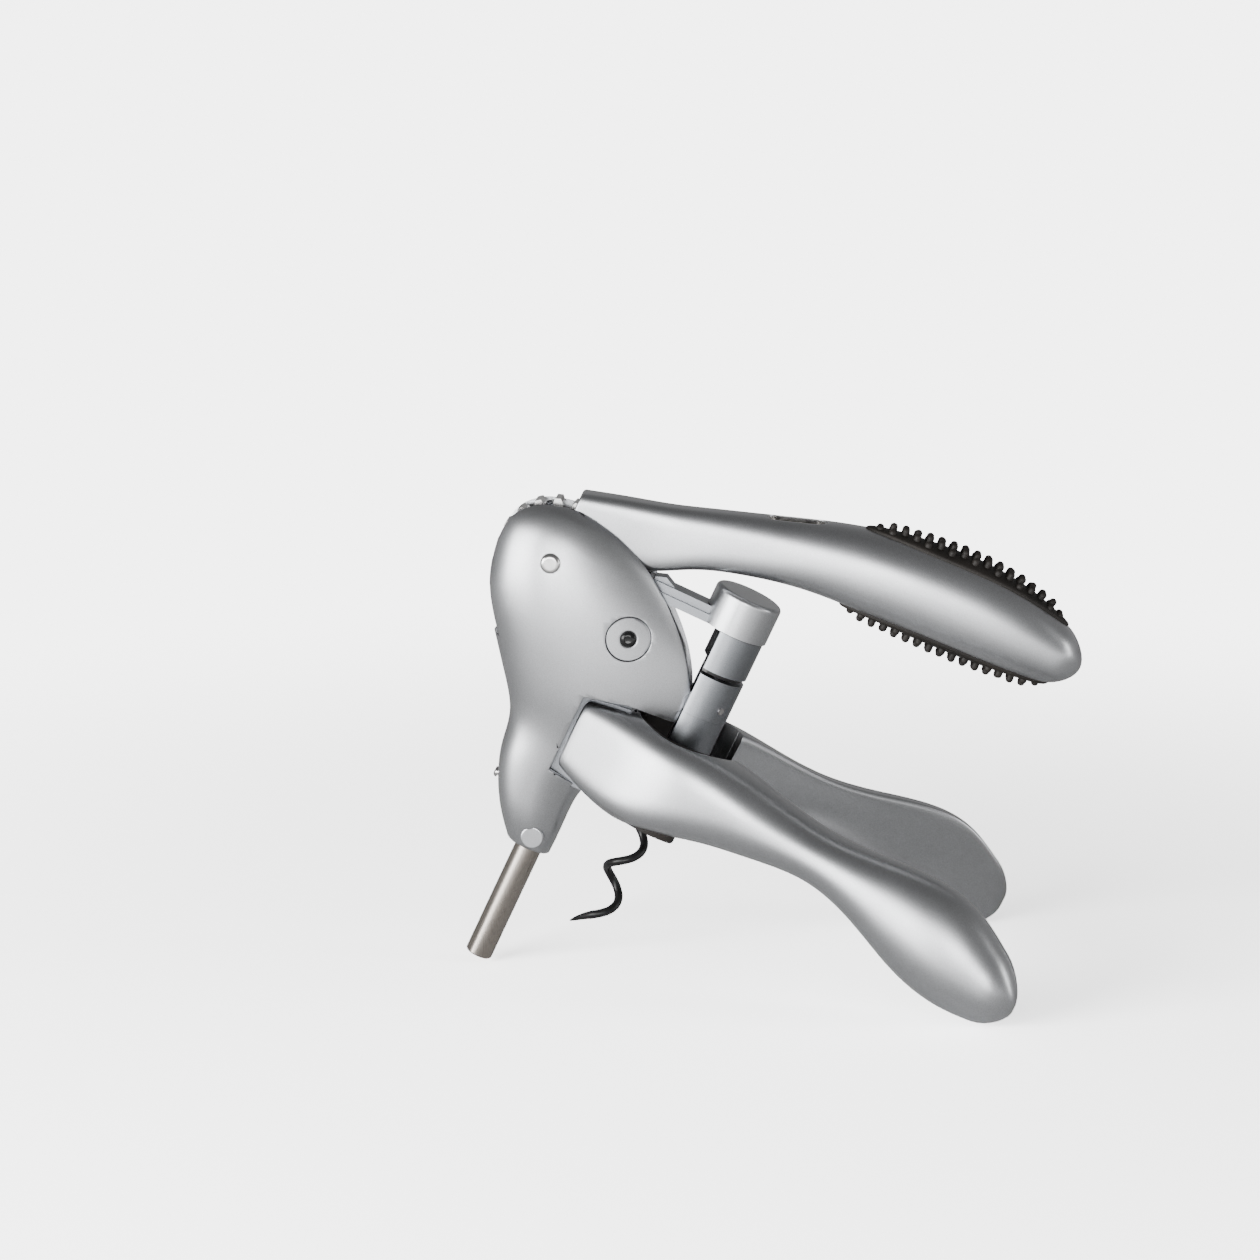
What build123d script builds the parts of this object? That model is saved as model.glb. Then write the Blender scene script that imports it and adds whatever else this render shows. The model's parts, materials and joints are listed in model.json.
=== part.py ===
"""Lever corkscrew: a geared lever drives a worm on a guide rod, two hinged handles grip the bottle.

Everything is drawn in the tool's own frame: Z runs up the guide rod from its foot, X points from
the head towards the handle tips, and the tool is symmetrical about Y = 0. The right side is -Y.
The handles are drawn closed. At the end they are opened, and the tool is tilted on to its three
points of support: the foot of the rod and the tips of both handles.
"""
import os
from math import atan, cos, degrees, pi, radians, sin, sqrt, tan

from build123d import *

# ---- driving dimensions, millimetres and degrees ----
ROD_R = 4.0
RUN_GAP = 0.06  # radial clearance of a running fit
PIVOT_X, PIVOT_Z = -28.9, 119.2  # lever pivot
PIVOT_PIN_R = 2.5
PIVOT_HALF = 14.1  # half length of the pivot pin's shaft
PIVOT_HEAD_R = 3.0
MODULE = 1.75
TEETH = 18
PRESSURE = 20.0
BACKLASH = 0.25
SWING = 180.0
GEAR_HALF = 4.0  # half width of the gear
HUB_HALF = 6.1  # half width of the lever's fork
SLOT_HALF = 6.6  # half width of the slot between the head shells
WALL = 2.0
SLOT_FLOOR = 92.0  # above this the shells stand apart
POST_R = 5.0  # posts inside the shells for the pivot pin
EYE_X, EYE_Z, EYE_R = 0.4, 108.4, 6.3
EYE_DEEP = 9.8  # distance of the eye's seat from the middle
EYE_GAP = 0.15
EYE_FLOOR = 2.2
BEAD_R, BEAD_LONG = 2.35, 5.6
NECK_CAP_X, NECK_CAP_Z, NECK_CAP_R = -0.3, 41.3, 3.5
NECK_CAP_SEAT, NECK_CAP_T = 5.6, 2.3
RIVET_Z, RIVET_R, RIVET_SEAT = 53.0, 1.6, -17.2
RIVET_SHANK_R = 1.0
BUSH_R, BUSH_LOW = 5.4, 41.0

BARREL_X = 27.0  # axis of the worm and its barrel
BARREL_R = 9.5
BARREL_FLAT = 3.6  # axis to the flat that faces the head
BARREL_BORE = 5.3
ARM_LOW, ARM_TOP = 120.9, 125.6  # carriage arm
HOUSING_LOW = 109.2
CARRIER_LOW, CARRIER_TOP = 95.1, 107.4
COLLAR_LOW = 72.0
MOUTH_R, MOUTH_DEEP = 6.8, 6.0  # the wide mouth of the collar's bore, which clears the worm's point
WORM_LEAD = 18.0
COIL_R = 3.7  # axis to the middle of the worm's wire
WIRE_R = 1.2
COIL_LOW = 26.2  # start of the full wire, above the point
COIL_RIGHT = 50.2  # a height where the wire is furthest towards the handles
COIL_TURN = 360 * (COIL_LOW - COIL_RIGHT) / WORM_LEAD
SPINDLE_R, SPINDLE_LOW = 4.4, 112.0
SHOULDER_R = BARREL_BORE - 0.15
SHOULDER_TOP = ARM_LOW - 0.2
FLANGE_LOW, FLANGE_T, FLANGE_R = 126.4, 1.2, 6.2
CAP_R, CAP_LOW, CAP_TOP = 10.1, 121.2, 132.6
BOSS_R = 8.3
ARM_HALF, ARM_SEAT, ARM_TOP_HALF = 5.4, 2.4, 4.3  # the arm is narrower above its seat in the housing
ARM_PIN_R, ARM_PIN_Z = 1.2, 122.0
PIN_TURN = -47.6  # the follower pin looks this way round the barrel
PIN_Z, PIN_R = 99.2, 1.0
PIN_TIP_R = 0.7  # the tip that runs between the worm's turns
PIN_START = 2.4  # from the barrel's axis
PIN_STEP = BARREL_BORE + 0.2
RIB_LOW, RIB_IN, RIB_OUT, RIB_WEB = 95.3, 4.0, 6.2, 2.5  # the carrier's two ribs and their web

HINGE_X, HINGE_Y = 5.0, 10.5
HINGE_PIN_R = 1.8
OPEN_ANGLE = 19.3
KNUCKLE_LOW, KNUCKLE_TOP = 68.4, 81.2
EAR_R, EAR_T, EAR_GAP = 3.6, 3.3, 0.3
EARS = (KNUCKLE_LOW - EAR_GAP - EAR_T, KNUCKLE_TOP + EAR_GAP)
NOTCH = ((-4.2, 62.6), (-4.2, 87.6), (9.0, 90.5), (40.0, 90.7), (40.0, 60.0), (6.0, 60.6))
NECK_R = 14.5  # bottle neck held by the closed liners
LINER_T = 1.8
LINER_END = 38.0  # the liners leave the handles' inner edges free
LINER_LOW, LINER_TOP = 61.4, 89.6
HANDLE_INNER = 1.5  # inner face of a closed handle
HANDLE_SPLIT = 5.0  # parting plane between its two halves
HANDLE_WALL = 2.4
HANDLE_NODES = ("handle_shell", "handle_cover", "neck_liner")

SECTION_POWER = 2.3  # power of the superellipse sections
HEAD_BACK_POWER = 1.8  # the head is slimmer towards its back edge

# head sections: height, front edge, back edge, half width, widest place as a part of the way back
HEAD = (
    (36.8, -6.8, 6.2, 5.6, 0.5),
    (42.0, -11.0, 6.4, 7.6, 0.5),
    (52.0, -16.8, 6.3, 9.0, 0.5),
    (62.0, -20.0, 8.5, 9.6, 0.49),
    (72.0, -22.0, 17.4, 10.8, 0.46),
    (82.0, -28.4, 26.5, 13.0, 0.42),
    (92.0, -35.9, 31.0, 14.4, 0.38),
    (103.0, -43.3, 28.0, 15.2, 0.36),
    (113.0, -46.6, 20.5, 15.2, 0.36),
    (123.0, -47.0, 9.3, 14.2, 0.37),
    (130.0, -43.2, -2.3, 12.2, 0.40),
    (134.6, -36.6, -15.0, 9.4, 0.45),
)
# handle sections: distance along it, lower edge, upper edge, outer face, power
HANDLE = (
    (-2.6, 64.8, 86.4, 14.0, 6.0),
    (10.0, 61.2, 88.8, 17.2, 5.2),
    (26.0, 60.3, 90.2, 20.4, 4.2),
    (44.0, 64.8, 90.2, 18.8, 3.0),
    (60.0, 67.9, 88.0, 15.8, 2.3),
    (78.0, 70.2, 86.3, 14.2, 2.3),
    (94.0, 66.8, 87.6, 14.2, 2.3),
    (110.0, 60.6, 89.3, 14.8, 2.3),
    (126.0, 57.8, 86.8, 14.6, 2.3),
    (139.0, 59.2, 79.6, 12.4, 2.3),
    (146.6, 63.4, 72.6, 8.0, 2.3),
)
# lever sections: distance along X, underside, top, half width
LEVER = (
    (-4.0, 126.6, 146.8, 6.1),
    (8.0, 132.2, 150.9, 6.9),
    (22.0, 137.2, 155.8, 8.2),
    (38.0, 140.6, 161.4, 9.8),
    (54.0, 141.9, 165.8, 11.2),
    (70.0, 142.3, 168.2, 12.0),
    (86.0, 142.9, 168.9, 12.2),
    (100.0, 144.0, 167.2, 11.8),
    (112.0, 145.6, 164.0, 10.4),
    (119.0, 147.4, 161.2, 7.4),
    (121.6, 149.8, 158.6, 4.6),
)
PAD_HALF = 7.4  # half width of the grip pads
PAD_SPAN = {"top": (48.5, 113.0), "bottom": (51.0, 115.0)}
PAD_PROUD = 0.9
PAD_DEEP = 1.2
GRIP_MIDDLE = 153.0
POCKET_RISE = radians(19.3)
POCKET_LONG, POCKET_WIDE, POCKET_DEEP = 18.0, 8.0, 4.5
INLAY_T = 1.0
CHEEK_R = 12.5

PITCH_R = MODULE * TEETH / 2
GEAR_TIP_R = PITCH_R + 0.7 * MODULE  # stub teeth, so that they stand little proud of the head
GEAR_SPACE_R = PITCH_R + MODULE + 0.8
TRAVEL = PITCH_R * radians(SWING)
RACK_LINE = PIVOT_X + PITCH_R
RACK_ROOT = RACK_LINE + 1.25 * MODULE
RACK_LOW, RACK_TOP = 63.5, ARM_TOP
RACK_HALF = 3.9
TOOTH_PITCH = pi * MODULE
SPINE_BACK = 10.0
SPINE_FRONT = -14.6
SPINE_HALF = 6.0
SPINE_LOW, SPINE_TOP = 60.0, 89.0
TOWER_TOP = 101.0
SIDES = {"right": -1, "left": 1}

os.makedirs("parts", exist_ok=True)
pieces = {}


# ---- helpers ----
def finish(builder, label):
    """Label a finished piece and keep it for placing."""
    builder.part.label = label
    pieces[label] = builder.part


def finish_pair(right, label):
    """Keep a piece of the right side, and its mirror image on the left."""
    with BuildPart() as left:
        mirror(right.part, about=Plane.XZ)
    finish(right, f"right_{label}")
    finish(left, f"left_{label}")


def across(x, z, y=0.0):
    """A plane at (x, y, z) whose normal points to the right side, -Y."""
    return Plane(origin=(x, y, z), x_dir=(1, 0, 0), z_dir=(0, -1, 0))


def up(z, x=0.0, y=0.0):
    """A level plane at (x, y, z)."""
    return Plane(origin=(x, y, z), x_dir=(1, 0, 0), z_dir=(0, 0, 1))


def outward(side, x, z, y):
    """A plane on one side of the tool whose normal points away from the middle."""
    return Plane(origin=(x, side * y, z), x_dir=(1, 0, 0), z_dir=(0, side, 0))


def bow(low, high, reach, powers=(SECTION_POWER, SECTION_POWER), peak=0.5, count=15):
    """Half a superellipse from (low, 0) to (high, 0): widest at peak, with a power each way from it."""
    middle = low + (high - low) * peak
    points = []
    for i in range(count):
        c, s = cos(pi * i / (count - 1)), abs(sin(pi * i / (count - 1)))
        edge, power = (low, powers[0]) if c > 0 else (high, powers[1])
        along = middle + (edge - middle) * abs(c) ** (2 / power)
        points.append((along, reach * s ** (2 / power)))
    return points


def trimmed(sections, inset):
    """The section positions, with both end sections moved in by inset."""
    places = [section[0] for section in sections]
    places[0] += inset
    places[-1] -= inset
    return places


def head_body(inset=0.0):
    """The right half of the head's outer form, pulled in by inset."""
    with BuildPart() as body:
        for place, (_, front, back, half, peak) in zip(trimmed(HEAD, inset), HEAD):
            with BuildSketch(Plane.XY.offset(place)):
                with BuildLine():
                    powers = (SECTION_POWER, HEAD_BACK_POWER)
                    points = bow(front + inset, back - 2 * inset, inset - half, powers, peak)
                    edge = Spline(*points, tangents=[(0, -1), (0, 1)])
                    Line(edge @ 1, edge @ 0)
                make_face()
        loft()
    return body.part


def handle_body(inset=0.0):
    """The right handle's outer form, closed, pulled in by inset."""
    face = HANDLE_INNER + inset
    with BuildPart() as body:
        for place, (_, low, high, out, power) in zip(trimmed(HANDLE, inset), HANDLE):
            with BuildSketch(Plane.YZ.offset(place)):
                with BuildLine():
                    points = bow(low + inset, high - inset, out - inset - face, (power, power))
                    places = [(-face - y, z) for z, y in points]
                    edge = Spline(*places, tangents=[(-1, 0), (1, 0)])
                    Line(edge @ 1, edge @ 0)
                make_face()
        loft()
    return body.part


def lever_body(grow=0.0):
    """The lever's grip, grown by a skin."""
    with BuildPart() as body:
        for place, low, high, half in LEVER:
            with BuildSketch(Plane.YZ.offset(place)):
                with BuildLine():
                    rim = bow(low - grow, high + grow, half + grow)
                    Spline(*[(-y, z) for z, y in rim], tangents=[(-1, 0), (1, 0)])
                    Spline(*[(y, z) for z, y in rim], tangents=[(1, 0), (-1, 0)])
                make_face()
        loft()
    return body.part


def barrel(low, high, radius=BARREL_R):
    """A length of the barrel: round, with a flat towards the head and a bore that opens in it."""
    with BuildPart() as length:
        with BuildSketch(up(low, BARREL_X)):
            Circle(radius)
            with Locations((-BARREL_FLAT - radius, 0)):
                Rectangle(2 * radius, 2 * radius, mode=Mode.SUBTRACT)
        extrude(amount=high - low)
        with BuildSketch(up(low, BARREL_X)):
            Circle(BARREL_BORE)
        extrude(amount=high - low, mode=Mode.SUBTRACT)
    return length.part


def rod(plane, radius, length):
    """A plain cylinder standing on a plane."""
    with BuildPart() as bar:
        with BuildSketch(plane):
            Circle(radius)
        extrude(amount=length)
    return bar.part


def block(x, y, z):
    """A plain block between two limits on each axis."""
    with BuildPart() as box:
        with BuildSketch(up(z[0], (x[0] + x[1]) / 2, (y[0] + y[1]) / 2)):
            Rectangle(x[1] - x[0], y[1] - y[0])
        extrude(amount=z[1] - z[0])
    return box.part


# ---- shared cutters ----
ROD_BORE = rod(up(0), ROD_R + RUN_GAP, 140)
BUSH_SEAT = rod(up(BUSH_LOW), BUSH_R, SPINE_LOW - BUSH_LOW)
PIVOT_BORE = rod(across(PIVOT_X, PIVOT_Z, PIVOT_HALF + 3), PIVOT_PIN_R, 2 * PIVOT_HALF + 6)
SPINE_BLOCK = block((SPINE_FRONT, SPINE_BACK), (-SPINE_HALF, SPINE_HALF), (SPINE_LOW, SPINE_TOP))

# ---- head shells, with what is set in them, made on the right and mirrored ----
outer = head_body()
with BuildPart() as hollow:
    add(head_body(WALL))
    with BuildSketch(outward(-1, PIVOT_X, PIVOT_Z, SLOT_HALF)):
        Circle(POST_R)
    extrude(amount=10, mode=Mode.SUBTRACT)
    with BuildSketch(outward(-1, EYE_X, EYE_Z, EYE_DEEP - EYE_FLOOR)):
        Circle(EYE_R + 1.5)
    extrude(amount=6, mode=Mode.SUBTRACT)
with BuildPart() as shell:
    add(outer)
    add(hollow.part, mode=Mode.SUBTRACT)
    add(block((-60, 40), (-SLOT_HALF, SLOT_HALF), (SLOT_FLOOR, 145)), mode=Mode.SUBTRACT)
    with BuildSketch(across(0, 0, 20)):
        with BuildLine():
            Polyline(*NOTCH, close=True)
        make_face()
    extrude(amount=40, mode=Mode.SUBTRACT)
    with BuildSketch(up(85, BARREL_X)):
        Circle(BARREL_R + 0.4)
        with Locations((-BARREL_FLAT - 0.3 - BARREL_R, 0)):
            Rectangle(2 * BARREL_R, 2 * BARREL_R + 2, mode=Mode.SUBTRACT)
    extrude(amount=24, mode=Mode.SUBTRACT)
    add(SPINE_BLOCK, mode=Mode.SUBTRACT)
    add(BUSH_SEAT, mode=Mode.SUBTRACT)
    add(rod(up(30), ROD_R + 0.3, 20), mode=Mode.SUBTRACT)
    add(PIVOT_BORE, mode=Mode.SUBTRACT)
    with BuildSketch(outward(-1, EYE_X, EYE_Z, EYE_DEEP)):
        Circle(EYE_R + EYE_GAP)
    extrude(amount=6, mode=Mode.SUBTRACT)
    with BuildSketch(outward(-1, EYE_X, EYE_Z, EYE_DEEP - EYE_FLOOR)):
        Circle(BEAD_R)
    extrude(amount=6, mode=Mode.SUBTRACT)
    with BuildSketch(outward(-1, NECK_CAP_X, NECK_CAP_Z, NECK_CAP_SEAT)):
        Circle(NECK_CAP_R)
    extrude(amount=6, mode=Mode.SUBTRACT)
    with BuildSketch(Plane.YZ.offset(-20)):
        with Locations((0, RIVET_Z)):
            Circle(RIVET_SHANK_R)
    extrude(amount=8, mode=Mode.SUBTRACT)
    with BuildSketch(Plane.YZ.offset(RIVET_SEAT)):
        with Locations((0, RIVET_Z)):
            Circle(RIVET_R)
    extrude(amount=-5, mode=Mode.SUBTRACT)
    with BuildSketch(outward(-1, PIVOT_X, PIVOT_Z, PIVOT_HALF - 0.1)):
        Circle(PIVOT_HEAD_R)
    extrude(amount=5, mode=Mode.SUBTRACT)

with BuildPart() as head_shell:
    add(shell.solids().sort_by(SortBy.VOLUME)[-1])
finish_pair(head_shell, "head_shell")

with BuildPart() as eye:
    with BuildSketch(outward(-1, EYE_X, EYE_Z, EYE_DEEP)):
        Circle(EYE_R)
    extrude(amount=6)
    add(outer, mode=Mode.INTERSECT)
    with BuildSketch(outward(-1, EYE_X, EYE_Z, EYE_DEEP)):
        Circle(BEAD_R)
    extrude(amount=6, mode=Mode.SUBTRACT)
finish_pair(eye, "eye_disc")

with BuildPart() as bead:
    with BuildSketch(outward(-1, EYE_X, EYE_Z, EYE_DEEP - EYE_FLOOR)):
        Circle(BEAD_R)
    extrude(amount=BEAD_LONG)
    fillet(bead.faces().sort_by(Axis.Y)[0].edges(), 0.9)
finish_pair(bead, "eye_screw")

with BuildPart() as cap:
    with BuildSketch(outward(-1, NECK_CAP_X, NECK_CAP_Z, NECK_CAP_SEAT)):
        Circle(NECK_CAP_R)
    extrude(amount=NECK_CAP_T)
    fillet(cap.faces().sort_by(Axis.Y)[0].edges(), 0.7)
finish_pair(cap, "neck_cap")

# ---- chassis inside the head ----
with BuildPart() as head_chassis:
    add(SPINE_BLOCK)
    add(block((4.6, SPINE_BACK), (-SPINE_HALF, SPINE_HALF), (SPINE_TOP, TOWER_TOP)))
    for side in SIDES.values():
        for low in EARS:
            with BuildSketch(up(low)):
                with Locations((HINGE_X, side * (SPINE_HALF + HINGE_Y) / 2)):
                    Rectangle(2 * EAR_R, HINGE_Y - SPINE_HALF)
                with Locations((HINGE_X, side * HINGE_Y)):
                    Circle(EAR_R)
            extrude(amount=EAR_T)
    add(block((SPINE_FRONT - 1, -1), (-4.4, 4.4), (SPINE_LOW - 1, SPINE_TOP + 1)), mode=Mode.SUBTRACT)
    add(ROD_BORE, mode=Mode.SUBTRACT)
    with Locations((HINGE_X, -HINGE_Y, 40), (HINGE_X, HINGE_Y, 40)):
        Cylinder(HINGE_PIN_R, 100, align=(Align.CENTER, Align.CENTER, Align.MIN), mode=Mode.SUBTRACT)
finish(head_chassis, "head_chassis")

with BuildPart() as rod_bushes:
    for low, high in ((BUSH_LOW, 49.0), (50.4, SPINE_LOW)):
        with BuildSketch(up(low)):
            Circle(BUSH_R)
            Circle(ROD_R + RUN_GAP, mode=Mode.SUBTRACT)
        extrude(amount=high - low)
finish(rod_bushes, "rod_bushes")

with BuildPart() as lever_pivot_pin:
    add(rod(across(PIVOT_X, PIVOT_Z, PIVOT_HALF), PIVOT_PIN_R, 2 * PIVOT_HALF))
    for side in SIDES.values():
        with BuildSketch(outward(side, PIVOT_X, PIVOT_Z, PIVOT_HALF - 0.1)):
            Circle(PIVOT_HEAD_R)
        extrude(amount=1.5)
    rims = lever_pivot_pin.edges().filter_by(GeomType.CIRCLE).sort_by(Axis.Y)
    fillet([rims[0], rims[-1]], 1.3)
finish(lever_pivot_pin, "lever_pivot_pin")

with BuildPart() as front_rivet:
    with BuildSketch(Plane.YZ.offset(RIVET_SEAT)):
        with Locations((0, RIVET_Z)):
            Circle(RIVET_R)
    extrude(amount=-1.2)
    fillet(front_rivet.faces().sort_by(Axis.X)[0].edges(), 0.9)
    with BuildSketch(Plane.YZ.offset(RIVET_SEAT - 0.6)):
        with Locations((0, RIVET_Z)):
            Circle(RIVET_SHANK_R)
    extrude(amount=5)
finish(front_rivet, "front_rivet")

# ---- nut carrier and mouth collar, held by the chassis ----
pin_dir = (cos(radians(PIN_TURN)), sin(radians(PIN_TURN)), 0)
PIN_PLANE = Plane(
    origin=(BARREL_X + PIN_START * pin_dir[0], PIN_START * pin_dir[1], PIN_Z),
    x_dir=(0, 0, 1),
    z_dir=pin_dir,
)
with BuildPart() as nut_carrier:
    add(barrel(CARRIER_LOW, CARRIER_TOP))
    for side in SIDES.values():
        rib = sorted((side * RIB_IN, side * RIB_OUT))
        add(block((SPINE_BACK, BARREL_X - BARREL_FLAT + 0.5), rib, (RIB_LOW, TOWER_TOP - 0.5)))
    add(block((SPINE_BACK, SPINE_BACK + RIB_WEB), (-RIB_OUT, RIB_OUT), (RIB_LOW, TOWER_TOP - 0.5)))
    add(rod(up(90, BARREL_X), BARREL_BORE, 20), mode=Mode.SUBTRACT)
    add(rod(PIN_PLANE.offset(PIN_STEP - PIN_START), PIN_R, 12), mode=Mode.SUBTRACT)
    add(rod(PIN_PLANE, PIN_TIP_R, 12), mode=Mode.SUBTRACT)
finish(nut_carrier, "nut_carrier")

with BuildPart() as nut_pin:
    add(rod(PIN_PLANE, PIN_TIP_R, PIN_STEP - PIN_START))
    add(rod(PIN_PLANE.offset(PIN_STEP - PIN_START), PIN_R, BARREL_R - PIN_STEP + 0.3))
finish(nut_pin, "nut_pin")

with BuildPart() as mouth_collar:
    add(barrel(COLLAR_LOW, CARRIER_LOW - 0.1, BARREL_R - 0.15))
    add(rod(up(COLLAR_LOW, BARREL_X), MOUTH_R, MOUTH_DEEP), mode=Mode.SUBTRACT)
finish(mouth_collar, "mouth_collar")

# ---- lever ----
def gear_wheel():
    """A full involute wheel with a tooth space towards +X."""
    base = PITCH_R * cos(radians(PRESSURE))
    tip, root = GEAR_TIP_R, PITCH_R - 1.25 * MODULE
    involute = tan(radians(PRESSURE)) - radians(PRESSURE)
    half_tooth = (TOOTH_PITCH - BACKLASH) / 4 / PITCH_R
    foot = half_tooth + involute
    flank = [((root - 0.6) * cos(foot), (root - 0.6) * sin(foot))]
    for i in range(7):
        radius = base + (tip - base) * i / 6
        roll = sqrt((radius / base) ** 2 - 1)
        turn = foot - (roll - atan(roll))
        flank.append((radius * cos(turn), radius * sin(turn)))
    with BuildPart() as wheel:
        with BuildSketch(across(PIVOT_X, PIVOT_Z, GEAR_HALF)):
            Circle(root)
            with BuildSketch(Plane.XY, mode=Mode.PRIVATE) as tooth:
                with BuildLine():
                    upper = Polyline(*flank)
                    lower = Polyline(*[(x, -y) for x, y in flank])
                    ThreePointArc(upper @ 1, (tip, 0), lower @ 1)
                    Line(lower @ 0, upper @ 0)
                make_face()
            with PolarLocations(0, TEETH, start_angle=180 / TEETH):
                add(tooth.sketch)
            Circle(PIVOT_PIN_R + RUN_GAP, mode=Mode.SUBTRACT)
        extrude(amount=2 * GEAR_HALF)
    return wheel.part


GEAR_RIVETS = [(8.5 * cos(radians(turn)), 8.5 * sin(radians(turn))) for turn in (65, 155)]
with BuildPart() as gear_rivets:
    with BuildSketch(across(PIVOT_X, PIVOT_Z, HUB_HALF)):
        with Locations(*GEAR_RIVETS):
            Circle(1.5)
    extrude(amount=2 * HUB_HALF)

with BuildPart() as lever_gear:
    add(gear_wheel())
    add(gear_rivets.part, mode=Mode.SUBTRACT)
finish(lever_gear, "lever_gear")

FORK = (
    (-31.0, 131.0),
    (-29.6, 139.0),
    (-28.4, 139.9),
    (-4.0, 146.8),
    (-4.0, 126.6),
    (-15.6, 126.4),
    (-18.0, 119.2),
)


def grip_pad(low, high, span):
    """A grip pad: a lens cut from a skin that lies on the lever's grip."""
    with BuildPart() as pad:
        with BuildSketch(up(low, sum(span) / 2)):
            Ellipse((span[1] - span[0]) / 2, PAD_HALF)
        extrude(amount=high - low)
        add(lever_body(PAD_PROUD), mode=Mode.INTERSECT)
        add(lever_body(-PAD_DEEP), mode=Mode.SUBTRACT)
    return pad.part


with BuildPart() as lever_top_grip:
    add(grip_pad(GRIP_MIDDLE, 180, PAD_SPAN["top"]))
with BuildPart() as lever_bottom_grip:
    add(grip_pad(130, GRIP_MIDDLE, PAD_SPAN["bottom"]))

POCKET = Plane(
    origin=(29.7, 0, 158.8),
    x_dir=(cos(POCKET_RISE), 0, sin(POCKET_RISE)),
    z_dir=(-sin(POCKET_RISE), 0, cos(POCKET_RISE)),
)
with BuildPart() as lever_arm:
    with BuildSketch(across(0, 0, HUB_HALF)):
        with BuildLine():
            Polyline(*FORK, close=True)
        make_face()
        with Locations((PIVOT_X, PIVOT_Z)):
            Circle(CHEEK_R)
    extrude(amount=2 * HUB_HALF)
    with BuildSketch(across(PIVOT_X, PIVOT_Z, GEAR_HALF + 0.1)):
        Circle(GEAR_SPACE_R)
    extrude(amount=2 * GEAR_HALF + 0.2, mode=Mode.SUBTRACT)
    add(lever_body())
    add(lever_top_grip.part, mode=Mode.SUBTRACT)
    add(lever_bottom_grip.part, mode=Mode.SUBTRACT)
    add(gear_rivets.part, mode=Mode.SUBTRACT)
    with BuildSketch(across(PIVOT_X, PIVOT_Z, HUB_HALF)):
        Circle(PIVOT_PIN_R + RUN_GAP)
    extrude(amount=2 * HUB_HALF, mode=Mode.SUBTRACT)
    with BuildSketch(POCKET):
        SlotOverall(POCKET_LONG, POCKET_WIDE)
    extrude(amount=-POCKET_DEEP, mode=Mode.SUBTRACT)
    with BuildSketch(POCKET):
        SlotOverall(POCKET_LONG, POCKET_WIDE)
    extrude(amount=4, mode=Mode.SUBTRACT)
finish(lever_arm, "lever_arm")
finish(gear_rivets, "gear_rivets")
finish(lever_top_grip, "lever_top_grip")
finish(lever_bottom_grip, "lever_bottom_grip")

with BuildPart() as lever_inlay:
    with BuildSketch(POCKET.offset(-POCKET_DEEP)):
        SlotOverall(POCKET_LONG, POCKET_WIDE)
    extrude(amount=POCKET_DEEP - 0.8)
    with BuildSketch(POCKET.offset(INLAY_T - POCKET_DEEP)):
        SlotOverall(POCKET_LONG - 2 * INLAY_T, POCKET_WIDE - 2 * INLAY_T)
    extrude(amount=POCKET_DEEP, mode=Mode.SUBTRACT)
finish(lever_inlay, "lever_inlay")

# ---- carriage: rod, rack, arm and the housing of the worm ----
with BuildPart() as arm_pin:
    add(rod(across(0, ARM_PIN_Z, ARM_HALF), ARM_PIN_R, 2 * ARM_HALF))
finish(arm_pin, "arm_pin")

with BuildPart() as guide_rod:
    with BuildSketch(up(0)):
        Circle(ROD_R)
    extrude(amount=ARM_TOP - 1)
    chamfer(guide_rod.faces().sort_by(Axis.Z)[0].edges(), 0.4)
    add(arm_pin.part, mode=Mode.SUBTRACT)
finish(guide_rod, "guide_rod")


def rack_half(x):
    """Half the height of a rack tooth at x."""
    return (TOOTH_PITCH - BACKLASH) / 4 + (x - RACK_LINE) * tan(radians(PRESSURE))


with BuildPart() as gear_rack:
    add(block((RACK_ROOT, -1.5), (-RACK_HALF, RACK_HALF), (RACK_LOW, RACK_TOP)))
    tip = RACK_LINE - MODULE
    below = int((PIVOT_Z - RACK_LOW) / TOOTH_PITCH)
    above = int((RACK_TOP - PIVOT_Z) / TOOTH_PITCH)
    with BuildSketch(across(0, PIVOT_Z, RACK_HALF)):
        with Locations(*[(0, i * TOOTH_PITCH) for i in range(-below, above + 1)]):
            with BuildLine():
                root = RACK_ROOT + 0.5
                Polyline(
                    (tip, rack_half(tip)),
                    (root, rack_half(root)),
                    (root, -rack_half(root)),
                    (tip, -rack_half(tip)),
                    close=True,
                )
            make_face()
    extrude(amount=2 * RACK_HALF)
    add(rod(up(0), ROD_R, 140), mode=Mode.SUBTRACT)
finish(gear_rack, "gear_rack")

with BuildPart() as carriage_arm:
    add(block((-10.6, BARREL_X), (-ARM_HALF, ARM_HALF), (ARM_LOW, ARM_LOW + ARM_SEAT)))
    add(block((-10.6, BARREL_X), (-ARM_TOP_HALF, ARM_TOP_HALF), (ARM_LOW + ARM_SEAT, ARM_TOP)))
    add(rod(up(ARM_LOW, BARREL_X), BOSS_R, ARM_TOP - ARM_LOW))
    with BuildSketch(across(0, 0, 3.0)):
        with BuildLine():
            Polyline((-1.0, ARM_TOP - 1), (-1.0, 126.0), (3.0, 127.4), (6.5, ARM_TOP), close=True)
        make_face()
    extrude(amount=6)
    add(block((-12, 0), (-RACK_HALF, RACK_HALF), (ARM_LOW - 1, ARM_TOP + 1)), mode=Mode.SUBTRACT)
    add(rod(up(0), ROD_R, ARM_TOP - 1), mode=Mode.SUBTRACT)
    add(rod(up(100, BARREL_X), SPINDLE_R + RUN_GAP, 40), mode=Mode.SUBTRACT)
    add(arm_pin.part, mode=Mode.SUBTRACT)
finish(carriage_arm, "carriage_arm")

with BuildPart() as worm_housing:
    add(barrel(HOUSING_LOW, ARM_LOW))
finish(worm_housing, "worm_housing")

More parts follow.
